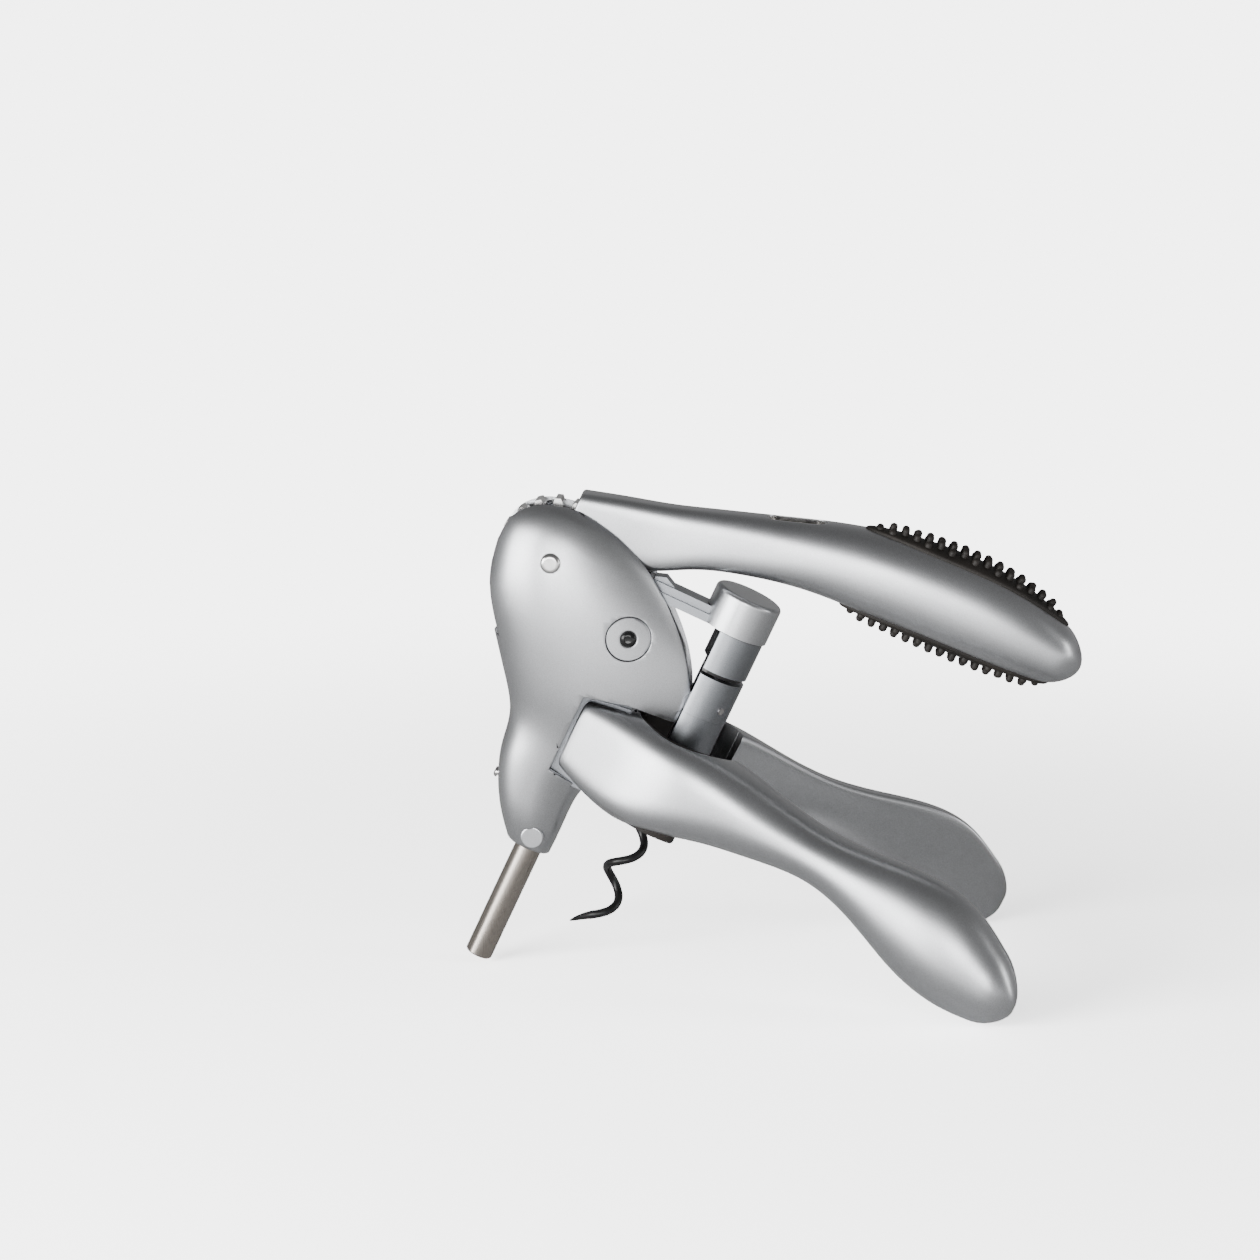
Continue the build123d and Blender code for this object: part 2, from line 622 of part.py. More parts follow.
with BuildPart() as housing_washer:
    add(barrel(HOUSING_LOW - 1.0, HOUSING_LOW, BARREL_R - 0.8))
finish(housing_washer, "housing_washer")

with BuildPart() as thrust_washer:
    with BuildSketch(up(ARM_TOP, BARREL_X)):
        Circle(6.6)
        Circle(SPINDLE_R + RUN_GAP, mode=Mode.SUBTRACT)
    extrude(amount=0.7)
finish(thrust_washer, "thrust_washer")

with BuildPart() as worm_cap:
    with BuildSketch(up(CAP_LOW, BARREL_X)):
        Circle(CAP_R)
    extrude(amount=CAP_TOP - CAP_LOW)
    fillet(worm_cap.faces().sort_by(Axis.Z)[-1].edges(), 1.3)
    with BuildSketch(up(CAP_LOW, BARREL_X)):
        Circle(BOSS_R)
    extrude(amount=CAP_TOP - CAP_LOW - 1.6, mode=Mode.SUBTRACT)
    add(block((0, BARREL_X), (-ARM_HALF, ARM_HALF), (CAP_LOW - 1, ARM_TOP + 0.2)), mode=Mode.SUBTRACT)
finish(worm_cap, "worm_cap")

# ---- worm ----
with BuildPart() as wire:
    with BuildLine(up(COIL_LOW, BARREL_X)) as coil:
        Helix(pitch=WORM_LEAD, height=SPINDLE_LOW + 2 - COIL_LOW, radius=COIL_R)
    with BuildSketch(coil.line ^ 0):
        Circle(WIRE_R)
    sweep(path=coil.line, is_frenet=True)
    with BuildSketch(Plane(origin=coil.line @ 0, z_dir=-(coil.line % 0))):
        Circle(WIRE_R)
    extrude(amount=6, taper=9)

with BuildPart() as worm:
    add(wire.part.rotate(Axis((BARREL_X, 0, 0), (0, 0, 1)), COIL_TURN))
    add(rod(up(SPINDLE_LOW, BARREL_X), SHOULDER_R, SHOULDER_TOP - SPINDLE_LOW))
    add(rod(up(SHOULDER_TOP, BARREL_X), SPINDLE_R, FLANGE_LOW - SHOULDER_TOP))
    add(rod(up(FLANGE_LOW, BARREL_X), FLANGE_R, FLANGE_T))
    add(rod(up(FLANGE_LOW + 0.4, BARREL_X), 1.5, 2.0), mode=Mode.SUBTRACT)
finish(worm, "worm")

with BuildPart() as worm_screw:
    add(rod(up(FLANGE_LOW + 0.4, BARREL_X), 1.5, FLANGE_T))
    add(rod(up(FLANGE_LOW + FLANGE_T, BARREL_X), 3.2, 1.6))
    with BuildSketch(up(FLANGE_LOW + FLANGE_T + 1.6, BARREL_X)):
        RegularPolygon(1.2, 6)
    extrude(amount=-0.9, mode=Mode.SUBTRACT)
finish(worm_screw, "worm_screw")

# ---- handles, drawn closed, made on the right and mirrored ----
def hinge_keepout(turn):
    """The room a handle leaves for the chassis, as seen from the handle at one angle."""
    with BuildPart() as room:
        add(block((-20, SPINE_BACK + 0.6), (-6.5, 6.5), (50, 100)))
        for low in EARS:
            with BuildSketch(up(low - EAR_GAP)):
                with Locations((HINGE_X, -(SPINE_HALF + HINGE_Y) / 2)):
                    Rectangle(2 * (EAR_R + EAR_GAP), HINGE_Y - SPINE_HALF)
                with Locations((HINGE_X, -HINGE_Y)):
                    Circle(EAR_R + EAR_GAP)
            extrude(amount=EAR_T + 2 * EAR_GAP)
    return room.part.rotate(Axis((HINGE_X, -HINGE_Y, 0), (0, 0, 1)), turn)


with BuildPart() as whole_handle:
    add(handle_body())
    add(rod(up(40, BARREL_X), NECK_R + LINER_T, 80), mode=Mode.SUBTRACT)
    for turn in (0, OPEN_ANGLE / 2, OPEN_ANGLE):
        add(hinge_keepout(turn), mode=Mode.SUBTRACT)
    add(rod(up(40, HINGE_X, -HINGE_Y), HINGE_PIN_R + RUN_GAP, 80), mode=Mode.SUBTRACT)

with BuildPart() as handle_hollow:
    add(handle_body(HANDLE_WALL))
    add(block((48, 160), (-40, -HANDLE_SPLIT), (40, 110)), mode=Mode.INTERSECT)

with BuildPart() as handle_shell:
    add(whole_handle.part)
    add(block((-20, 160), (-40, -HANDLE_SPLIT), (40, 110)), mode=Mode.INTERSECT)
    add(handle_hollow.part, mode=Mode.SUBTRACT)
finish_pair(handle_shell, "handle_shell")

with BuildPart() as handle_cover:
    add(whole_handle.part)
    add(block((BARREL_X, 160), (-HANDLE_SPLIT, 0), (40, 110)), mode=Mode.INTERSECT)
finish_pair(handle_cover, "handle_cover")

with BuildPart() as neck_liner:
    with BuildSketch(up(LINER_LOW, BARREL_X)):
        Circle(NECK_R + LINER_T)
        Circle(NECK_R, mode=Mode.SUBTRACT)
    extrude(amount=LINER_TOP - LINER_LOW)
    add(block((0, LINER_END), (-30, -4), (40, 110)), mode=Mode.INTERSECT)
    add(handle_body(0.5), mode=Mode.INTERSECT)
finish_pair(neck_liner, "neck_liner")

with BuildPart() as hinge_pin:
    with BuildSketch(up(EARS[0], HINGE_X, -HINGE_Y)):
        Circle(HINGE_PIN_R)
    extrude(amount=EARS[1] + EAR_T - EARS[0])
finish_pair(hinge_pin, "hinge_pin")

# ---- open the handles and stand the tool on its rod and handle tips ----
def opened(side):
    """The move that opens the handle of one side from closed to its stop."""
    hinge = Pos(HINGE_X, side * HINGE_Y, 0)
    return hinge * Rot(0, 0, side * OPEN_ANGLE) * hinge.inverse()


placed = {}
for label, piece in pieces.items():
    side, _, node = label.partition("_")
    placed[label] = opened(SIDES[side]) * piece if node in HANDLE_NODES else piece


def lowest(piece, tilt):
    """The height of a piece's lowest point once the tool is tilted."""
    return (Rot(0, tilt, 0) * piece).bounding_box().min.Z


flat, steep = 15.0, 35.0
while steep - flat > 0.002:
    tilt = (flat + steep) / 2
    if lowest(placed["right_handle_shell"], tilt) > lowest(placed["guide_rod"], tilt):
        flat = tilt
    else:
        steep = tilt

box = Compound(children=[Rot(0, tilt, 0) * piece for piece in placed.values()]).bounding_box()
stand = Pos(-box.center().X, -box.center().Y, -box.min.Z) * Rot(0, tilt, 0)
for label, piece in placed.items():
    export_step(stand * piece, f"parts/{label}.step")
print(f"tilt {tilt:.3f} degrees, box {box.size.X:.1f} x {box.size.Y:.1f} x {box.size.Z:.1f} mm")
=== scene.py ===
"""Lever corkscrew: the looks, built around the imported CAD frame.

Shapes are drawn in the tool's own frame in millimetres: Z runs up the guide rod from its foot, X
points from the head to the handle tips, the right side is -Y. TOOL carries them to the row frame.
"""
import json
from math import atan2, cos, pi, radians, sin, sqrt

import bmesh
import bpy
import numpy as np
from mathutils import Matrix, Vector


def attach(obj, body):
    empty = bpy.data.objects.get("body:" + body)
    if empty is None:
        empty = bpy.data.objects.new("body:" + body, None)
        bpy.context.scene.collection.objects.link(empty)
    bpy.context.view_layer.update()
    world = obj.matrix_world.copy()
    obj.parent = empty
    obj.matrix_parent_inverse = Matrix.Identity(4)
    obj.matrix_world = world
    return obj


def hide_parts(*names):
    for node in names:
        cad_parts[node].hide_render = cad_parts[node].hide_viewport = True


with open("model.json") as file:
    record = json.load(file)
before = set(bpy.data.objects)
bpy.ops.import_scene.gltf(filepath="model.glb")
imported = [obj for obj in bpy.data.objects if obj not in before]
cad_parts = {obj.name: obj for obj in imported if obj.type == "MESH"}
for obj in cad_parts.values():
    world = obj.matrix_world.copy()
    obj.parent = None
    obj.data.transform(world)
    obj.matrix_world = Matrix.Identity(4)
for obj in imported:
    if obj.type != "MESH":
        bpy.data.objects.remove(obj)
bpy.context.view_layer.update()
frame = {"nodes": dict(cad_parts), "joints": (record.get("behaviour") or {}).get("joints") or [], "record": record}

# ---- the tool's frame, from the record's joints ----
JOINTS = {joint["name"]: joint for joint in frame["joints"]}
TOOL_UP = Vector(JOINTS["worm_spin"]["axis"])
TILT = atan2(TOOL_UP.x, TOOL_UP.z)
PIVOT = Vector((-28.9, 0, 119.2))
TURNED = Matrix.Rotation(TILT, 4, "Y") @ Matrix.Scale(0.001, 4)
TOOL = Matrix.Translation(Vector(JOINTS["lever_swing"]["pos_m"]) - TURNED @ PIVOT) @ TURNED

# ---- sizes, millimetres ----
BARREL_X = 27.0
BARREL_R = 9.5
BARREL_FLAT = 3.6
HUB_HALF = 6.1
SLOT_HALF = 6.6
SHELL_WALL = 2.0
GEAR_SPACE_R, GEAR_SPACE_HALF = 18.3, 4.1
HINGE_X, HINGE_Y, OPEN_ANGLE = 5.0, 10.5, radians(19.3)
LINER_R = 16.3
NOTCH = ((-4.2, 62.6), (-4.2, 87.6), (9.0, 90.5), (40.0, 90.7), (40.0, 60.0), (6.0, 60.6))
EYE = Vector((0.4, 0, 108.4))
EYE_R, EYE_GAP, EYE_DEEP, BEAD_R = 6.3, 0.22, 9.8, 2.35

# head sections: height, front edge, back edge, half width, widest place as a part of the way back
HEAD = (
    (36.8, -6.8, 6.2, 5.6, 0.5),
    (42.0, -11.0, 6.4, 7.6, 0.5),
    (52.0, -16.8, 6.3, 9.0, 0.5),
    (62.0, -20.0, 8.5, 9.6, 0.49),
    (72.0, -22.0, 17.4, 10.8, 0.46),
    (82.0, -28.4, 26.5, 13.0, 0.42),
    (92.0, -35.9, 31.0, 14.4, 0.38),
    (103.0, -43.3, 28.0, 15.2, 0.36),
    (113.0, -46.6, 20.5, 15.2, 0.36),
    (123.0, -47.0, 9.3, 14.2, 0.37),
    (130.0, -43.2, -2.3, 12.2, 0.40),
    (134.6, -36.6, -15.0, 9.4, 0.45),
)
# handle sections: distance along it, lower edge, upper edge, outer face, power
HANDLE = (
    (-2.6, 64.8, 86.4, 14.0, 6.0),
    (10.0, 61.2, 88.8, 17.2, 5.2),
    (26.0, 60.3, 90.2, 20.4, 4.2),
    (44.0, 64.8, 90.2, 18.8, 3.0),
    (60.0, 67.9, 88.0, 15.8, 2.3),
    (78.0, 70.2, 86.3, 14.2, 2.3),
    (94.0, 66.8, 87.6, 14.2, 2.3),
    (110.0, 60.6, 89.3, 14.8, 2.3),
    (126.0, 57.8, 86.8, 14.6, 2.3),
    (139.0, 59.2, 79.6, 12.4, 2.3),
    (146.6, 61.0, 75.4, 11.0, 2.3),
)
# lever sections: distance along X, underside, top, half width, power
LEVER = (
    (-29.2, 128.0, 139.5, 6.1, 5.0),
    (-16.0, 126.0, 143.4, 6.1, 5.0),
    (-4.0, 126.4, 146.8, 6.1, 4.6),
    (8.0, 132.2, 150.9, 6.9, 3.8),
    (22.0, 137.2, 155.8, 8.2, 3.1),
    (38.0, 140.6, 161.4, 9.8, 2.6),
    (54.0, 141.9, 165.8, 11.2, 2.4),
    (70.0, 142.3, 168.2, 12.0, 2.3),
    (86.0, 142.9, 168.9, 12.2, 2.3),
    (100.0, 144.0, 167.2, 11.8, 2.3),
    (112.0, 145.6, 163.8, 10.4, 2.2),
    (121.4, 147.6, 160.4, 8.4, 2.2),
)


# ---- curves and rings ----
def natural_spline(table):
    """A smooth function through a table's rows: place -> the other columns."""
    rows = np.array(table, float)
    x, y = rows[:, 0], rows[:, 1:]
    count = len(x)
    step = np.diff(x)
    matrix = np.eye(count)
    right = np.zeros_like(y)
    for i in range(1, count - 1):
        matrix[i, i - 1 : i + 2] = step[i - 1], 2 * (step[i - 1] + step[i]), step[i]
        right[i] = 6 * ((y[i + 1] - y[i]) / step[i] - (y[i] - y[i - 1]) / step[i - 1])
    bend = np.linalg.solve(matrix, right)

    def at(place):
        i = min(max(int(np.searchsorted(x, place)) - 1, 0), count - 2)
        a, b = (x[i + 1] - place) / step[i], (place - x[i]) / step[i]
        curve = ((a**3 - a) * bend[i] + (b**3 - b) * bend[i + 1]) * step[i] ** 2 / 6
        return a * y[i] + b * y[i + 1] + curve

    return at


def bow(low, high, reach, powers, count, peak=0.5):
    """Half a superellipse from (low, 0) to (high, 0): widest at peak, with a power each way from it."""
    middle = low + (high - low) * peak
    points = []
    for i in range(count):
        c, s = cos(pi * i / (count - 1)), abs(sin(pi * i / (count - 1)))
        edge, power = (low, powers[0]) if c > 0 else (high, powers[1])
        along = middle + (edge - middle) * abs(c) ** (2 / power)
        points.append((along, reach * s ** (2 / power)))
    return points


def places(low, high, step, start_round=0.0, end_round=0.0):
    """Section places from low to high, closer together where an end is rounded off."""
    count = max(2, round((high - low - start_round - end_round) / step))
    start, end = low + start_round, high - end_round
    middle = [start + (end - start) * i / count for i in range(count + 1)]
    turns = [pi / 2 * i / 8 for i in range(1, 8)]
    first = [low + start_round * (1 - sin(turn)) for turn in turns] if start_round else []
    last = [high - end_round * (1 - sin(turn)) for turn in turns] if end_round else []
    return sorted(set(first + middle + last))


END_SIZE = 0.995  # how far a rounded end closes: its last ring keeps a little size


def closing(place, low, high, start_round, end_round):
    """How far a section shrinks where an end is rounded off: 1 away from the ends."""
    if start_round and place < low + start_round:
        u = (low + start_round - place) / start_round
        return sqrt(max(0.0, 1 - min(u, END_SIZE) ** 2))
    if end_round and place > high - end_round:
        u = (place - high + end_round) / end_round
        return sqrt(max(0.0, 1 - min(u, END_SIZE) ** 2))
    return 1.0


# ---- meshes ----
def new_object(name, vertices, faces):
    """An object of the scene from points and faces, with outward normals."""
    mesh = bpy.data.meshes.new(name)
    mesh.from_pydata(vertices, [], faces)
    work = bmesh.new()
    work.from_mesh(mesh)
    bmesh.ops.recalc_face_normals(work, faces=work.faces)
    work.to_mesh(mesh)
    work.free()
    made = bpy.data.objects.new(name, mesh)
    bpy.context.scene.collection.objects.link(made)
    return made


def loft(name, rings):
    """A closed skin through closed rings of the same number of points, with flat ends."""
    count = len(rings[0])
    vertices = [point for ring in rings for point in ring]
    faces = [tuple(range(count)), tuple(range(len(vertices) - count, len(vertices)))]
    for i in range(len(rings) - 1):
        for j in range(count):
            k = (j + 1) % count
            a, b = i * count, (i + 1) * count
            faces.append((a + j, a + k, b + k, b + j))
    return new_object(name, vertices, faces)


def ring_about(centre, radius, along, count=48):
    """A ring of points about a centre, square to the direction along."""
    along = Vector(along).normalized()
    side = along.orthogonal().normalized()
    other = along.cross(side)
    return [
        tuple(Vector(centre) + radius * (cos(2 * pi * i / count) * side + sin(2 * pi * i / count) * other))
        for i in range(count)
    ]


def lathe(name, base, along, profile, count=48):
    """A turned solid: profile is a list of (distance along, radius) from a base point."""
    along = Vector(along).normalized()
    rings = [ring_about(Vector(base) + along * far, radius, along, count) for far, radius in profile]
    return loft(name, rings)


def slab(name, outline, y_low, y_high):
    """A plate with an outline in X and Z between two values of Y."""
    return loft(name, [[(x, y, z) for x, z in outline] for y in (y_low, y_high)])


def cuboid(name, x, y, z):
    """A plain block, used only as a cutter."""
    return slab(name, [(x[0], z[0]), (x[1], z[0]), (x[1], z[1]), (x[0], z[1])], y[0], y[1])


def remove(*objects):
    """Deletes working objects."""
    for gone in objects:
        bpy.data.objects.remove(gone)


def bake(piece):
    """Applies a piece's modifiers to its mesh."""
    graph = bpy.context.evaluated_depsgraph_get()
    mesh = bpy.data.meshes.new_from_object(piece.evaluated_get(graph))
    piece.modifiers.clear()
    piece.data = mesh
    return piece


def combine(piece, operation, *others):
    """Cuts, joins or intersects a piece with others, which are used up."""
    for other in others:
        modifier = piece.modifiers.new("combine", "BOOLEAN")
        modifier.operation = operation
        modifier.solver = "EXACT"
        modifier.object = other
        bake(piece)
    remove(*others)
    return piece


def copied(piece, name):
    """A copy of a working piece."""
    twin = bpy.data.objects.new(name, piece.data.copy())
    bpy.context.scene.collection.objects.link(twin)
    return twin


SHARP = 38  # an edge that turns by more degrees than this is a sharp one


def soften(piece, width):
    """Rounds the sharp edges of a piece by a small width, in the tool's millimetres."""
    work = bmesh.new()
    work.from_mesh(piece.data)
    bmesh.ops.remove_doubles(work, verts=work.verts, dist=0.02)
    bmesh.ops.dissolve_degenerate(work, edges=work.edges, dist=0.01)
    work.to_mesh(piece.data)
    work.free()
    modifier = piece.modifiers.new("soften", "BEVEL")
    modifier.width = width
    modifier.segments = 2
    modifier.limit_method = "ANGLE"
    modifier.angle_limit = radians(SHARP)
    modifier.use_clamp_overlap = False
    modifier.harden_normals = False
    return bake(piece)


def place(piece, move=Matrix.Identity(4)):
    """Carries a piece from the tool's frame to the row frame."""
    piece.data.transform(TOOL @ move)
    if (TOOL @ move).determinant() < 0:
        piece.data.flip_normals()
    return piece


def finished(piece, material, body, nodes=(), sharp=SHARP, move=Matrix.Identity(4)):
    """Places a piece, shades it and ties it to its body, its finish and the nodes it stands for."""
    place(piece, move)
    piece.data.shade_smooth()
    piece.data.set_sharp_from_angle(angle=radians(sharp))
    piece.data.materials.clear()
    piece.data.materials.append(material)
    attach(piece, body)
    if nodes:
        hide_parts(*nodes)
    return piece


MIRROR = Matrix.Scale(-1, 4, (0, 1, 0))
SIDES = {"right": Matrix.Identity(4), "left": MIRROR}


# ---- materials ----
class Nodes:
    """A material's node tree with its Principled shader."""

    def __init__(self, name):
        self.material = bpy.data.materials.new(name)
        self.material.use_nodes = True
        self.tree = self.material.node_tree
        self.shader = self.tree.nodes["Principled BSDF"]

    def add(self, kind, **values):
        node = self.tree.nodes.new(kind)
        for key, value in values.items():
            if key in node.inputs:
                node.inputs[key].default_value = value
            else:
                setattr(node, key, value)
        return node

    def link(self, output, socket):
        self.tree.links.new(output, socket)

    def place(self, scale=(1, 1, 1)):
        """Coordinates in the tool's directions, stretched by scale."""
        where = self.add("ShaderNodeTexCoord")
        turn = self.add("ShaderNodeMapping")
        turn.inputs["Rotation"].default_value = (0, -TILT, 0)
        turn.inputs["Scale"].default_value = scale
        self.link(where.outputs["Object"], turn.inputs["Vector"])
        return turn.outputs["Vector"]

    def noise(self, vector, scale, detail=3.0, roughness=0.5):
        node = self.add("ShaderNodeTexNoise")
        node.inputs["Scale"].default_value = scale
        node.inputs["Detail"].default_value = detail
        node.inputs["Roughness"].default_value = roughness
        self.link(vector, node.inputs["Vector"])
        return node.outputs["Fac"]

    def spread(self, value, low, high):
        """Maps a noise value from its usual 0.3 to 0.7 on to low to high."""
        node = self.add("ShaderNodeMapRange")
        node.inputs["From Min"].default_value = 0.3
        node.inputs["From Max"].default_value = 0.7
        node.inputs["To Min"].default_value = low
        node.inputs["To Max"].default_value = high
        self.link(value, node.inputs["Value"])
        return node.outputs["Result"]

    def tint(self, value, dark, light):
        """A colour between dark and light."""
        node = self.add("ShaderNodeMix", data_type="RGBA")
        node.inputs[6].default_value = (*dark, 1)
        node.inputs[7].default_value = (*light, 1)
        self.link(value, node.inputs[0])
        return node.outputs[2]

    def bump(self, height, strength, distance):
        node = self.add("ShaderNodeBump")
        node.inputs["Strength"].default_value = strength
        node.inputs["Distance"].default_value = distance
        self.link(height, node.inputs["Height"])
        self.link(node.outputs["Normal"], self.shader.inputs["Normal"])

    def set(self, **values):
        for key, value in values.items():
            self.shader.inputs[key.replace("_", " ")].default_value = value


def silver_paint(name, dark, light, roughness):
    """Satin metallic paint: fine flakes, an uneven sheen and a faint orange-peel skin."""
    made = Nodes(name)
    where = made.place()
    flakes = made.noise(where, 5200, 2.0, 0.7)
    cloud = made.noise(where, 55, 3.0)
    made.link(made.tint(made.spread(flakes, 0.0, 1.0), dark, light), made.shader.inputs["Base Color"])
    made.link(made.spread(cloud, roughness - 0.025, roughness + 0.025), made.shader.inputs["Roughness"])
    made.bump(flakes, 0.10, 0.00006)
    made.set(Metallic=1.0)
    return made.material


def polished(name, colour, roughness):
    """Polished or plated metal with faint handling marks."""
    made = Nodes(name)
    where = made.place()
    marks = made.noise(where, 420, 5.0, 0.65)
    cloud = made.noise(where, 60)
    made.link(made.spread(marks, roughness * 0.7, roughness * 1.5), made.shader.inputs["Roughness"])
    deep = tuple(c * 0.86 for c in colour)
    made.link(made.tint(made.spread(cloud, 0, 1), deep, colour), made.shader.inputs["Base Color"])
    made.bump(marks, 0.05, 0.00005)
    made.set(Metallic=1.0)
    return made.material


def brushed(name, colour, roughness):
    """Stainless bar, drawn along its length: fine lines that run with the tool's axis."""
    made = Nodes(name)
    lines = made.noise(made.place((1, 1, 0.02)), 3800, 4.0, 0.6)
    cloud = made.noise(made.place(), 45)
    deep = tuple(c * 0.72 for c in colour)
    made.link(made.tint(made.spread(lines, 0, 1), deep, colour), made.shader.inputs["Base Color"])
    made.link(made.spread(cloud, roughness * 0.85, roughness * 1.2), made.shader.inputs["Roughness"])
    made.bump(lines, 0.18, 0.00004)
    made.set(Metallic=1.0)
    return made.material


def rubber(name):
    """Black moulded rubber with a fine skin."""
    made = Nodes(name)
    where = made.place()
    skin = made.noise(where, 2600, 3.0)
    cloud = made.noise(where, 90)
    colour = made.tint(made.spread(cloud, 0, 1), (0.008, 0.0065, 0.0055), (0.017, 0.014, 0.012))
    made.link(colour, made.shader.inputs["Base Color"])
    made.link(made.spread(skin, 0.5, 0.68), made.shader.inputs["Roughness"])
    made.bump(skin, 0.2, 0.00008)
    made.set(Metallic=0.0, Specular_IOR_Level=0.32)
    return made.material


def coating(name, roughness):
    """Black coating on metal: smooth, with a slight flow."""
    made = Nodes(name)
    where = made.place()
    flow = made.noise(where, 240, 3.0)
    colour = made.tint(made.spread(flow, 0, 1), (0.006, 0.006, 0.006), (0.014, 0.014, 0.015))
    made.link(colour, made.shader.inputs["Base Color"])
    made.link(made.spread(flow, roughness * 0.8, roughness * 1.25), made.shader.inputs["Roughness"])
    made.bump(flow, 0.08, 0.0001)
    made.set(Metallic=0.0, Specular_IOR_Level=0.3)
    return made.material


MATERIALS = {
    "satin_silver": silver_paint("satin_silver", (0.40, 0.405, 0.415), (0.60, 0.61, 0.63), 0.33),
    "cast_silver": silver_paint("cast_silver", (0.20, 0.21, 0.225), (0.32, 0.33, 0.35), 0.36),
    "polished_steel": polished("polished_steel", (0.66, 0.65, 0.64), 0.18),
    "brushed_steel": brushed("brushed_steel", (0.43, 0.39, 0.35), 0.27),
    "black_rubber": rubber("black_rubber"),
    "black_gloss": coating("black_gloss", 0.08),
    "black_coating": coating("black_coating", 0.3),
    "bush_plastic": rubber("bush_plastic"),
}
for part in frame["record"]["subparts"]:
    frame["nodes"][part["node"]].data.materials.clear()
    frame["nodes"][part["node"]].data.materials.append(MATERIALS[part["material_slot"]])
# the worm cap wears the casing's satin silver made a little lighter: the extra lightness is painted light that
# brightens the cap's shaded side
CAP_LIT_PAINT = silver_paint("cap_silver_lit", (0.42, 0.425, 0.435), (0.62, 0.63, 0.65), 0.34)
frame["nodes"]["worm_cap"].data.materials[0] = CAP_LIT_PAINT
for name in ("right_neck_cap", "left_neck_cap"):
    frame["nodes"][name].data.materials[0] = MATERIALS["satin_silver"]


# ---- head shells ----
HEAD_TOP, HEAD_ROUND, FOOT_ROUND = 136.0, 4.0, 0.7
HOLLOW_SHORT = 2.0  # the hollow stops this far below its own crown
PAST_MIDDLE = 1.0  # the hollow runs on past the middle plane, so that no two faces lie on each other
HEAD_POWERS = (2.3, 1.8)
HEAD_AT = natural_spline(HEAD)
POST_R, PIN_HOLE_R = 5, 2.55
SEAT_FLOOR, SEAT_WALL = 2.2, 1.5  # the eye's seat inside the casing


def head_ring(z, inset, shrink):
    """The right half of the head at one height, closed along its middle, or past it for the hollow."""
    front, back, half, peak = HEAD_AT(min(z, HEAD[-1][0]))
    middle, long = (front + back) / 2, (back - front) / 2
    front, back = middle - long * shrink + inset, middle + long * shrink - inset
    ring = [(x, -y, z) for x, y in bow(front, back, half * shrink - inset, HEAD_POWERS, 49, peak)]
    if inset >= SHELL_WALL:
        ring[0], ring[-1] = (front, PAST_MIDDLE, z), (back, PAST_MIDDLE, z)
    return ring


def head_form(name, inset=0.0):
    """The right half of the head as one solid, pulled in by inset."""
    low, high = HEAD[0][0] + inset, HEAD_TOP - 1.5 * inset
    rounding = (FOOT_ROUND, HEAD_ROUND) if inset == 0 else (0.0, 0.0)
    rings = []
    for z in places(low, high if inset == 0 else high - HOLLOW_SHORT, 1.3, *rounding):
        shrink = closing(z, low, high, 0.0, rounding[1])
        edge = FOOT_ROUND * (1 - closing(z, low, high, rounding[0], 0.0)) if z < low + 1 else 0.0
        rings.append(head_ring(z, inset + edge, shrink))
    return loft(name, rings)


def barrel_room():
    """The room for the barrel: round, with a flat that faces the head."""
    radius, flat = BARREL_R + 0.4, BARREL_X - BARREL_FLAT - 0.3
    room = lathe("barrel_room", (BARREL_X, 0, 85), (0, 0, 1), ((0, radius), (24, radius)), 96)
    return combine(room, "INTERSECT", cuboid("flat", (flat, 50), (-20, 20), (80, 120)))


def head_shell(side):
    """One hollow half of the casing, with its slot, notch and seats."""
    shell = head_form("shell")
    hollow = head_form("hollow", SHELL_WALL)
    seat, hole = EYE_R + SEAT_WALL, EYE_R + EYE_GAP
    combine(
        hollow,
        "DIFFERENCE",
        lathe("post", (PIVOT.x, -SLOT_HALF, PIVOT.z), (0, -1, 0), ((0, POST_R), (12, POST_R))),
        lathe("seat", (EYE.x, SEAT_FLOOR - EYE_DEEP, EYE.z), (0, -1, 0), ((0, seat), (6, seat))),
    )
    combine(
        shell,
        "DIFFERENCE",
        hollow,
        cuboid("slot", (-60, 40), (-SLOT_HALF, 5), (92, 145)),
        slab("notch", NOTCH, -20, 5),
        barrel_room(),
        cuboid("spine_room", (-14.7, 10.1), (-6.1, 5), (59.9, 89.1)),
        lathe("bush_room", (0, 0, 35), (0, 0, 1), ((0, 4.3), (6, 4.3), (6.01, 5.5), (26, 5.5)), 64),
        lathe("eye_hole", (EYE.x, -EYE_DEEP, EYE.z), (0, -1, 0), ((0, hole), (6, hole)), 96),
        lathe("pin_hole", (PIVOT.x, -5, PIVOT.z), (0, -1, 0), ((0, PIN_HOLE_R), (12, PIN_HOLE_R))),
    )
    soften(shell, 0.22)
    shell.name = f"{side}_casing"
    nodes = [f"{side}_head_shell"]
    return finished(shell, MATERIALS["satin_silver"], "head", nodes, move=SIDES[side])


def head_height(x, z):
    """How far the head's right surface stands from the middle at (x, z)."""
    front, back, half, peak = HEAD_AT(z)
    widest = front + (back - front) * peak
    edge, power = (front, HEAD_POWERS[0]) if x < widest else (back, HEAD_POWERS[1])
    return half * (1 - ((x - widest) / (edge - widest)) ** power) ** (1 / power)


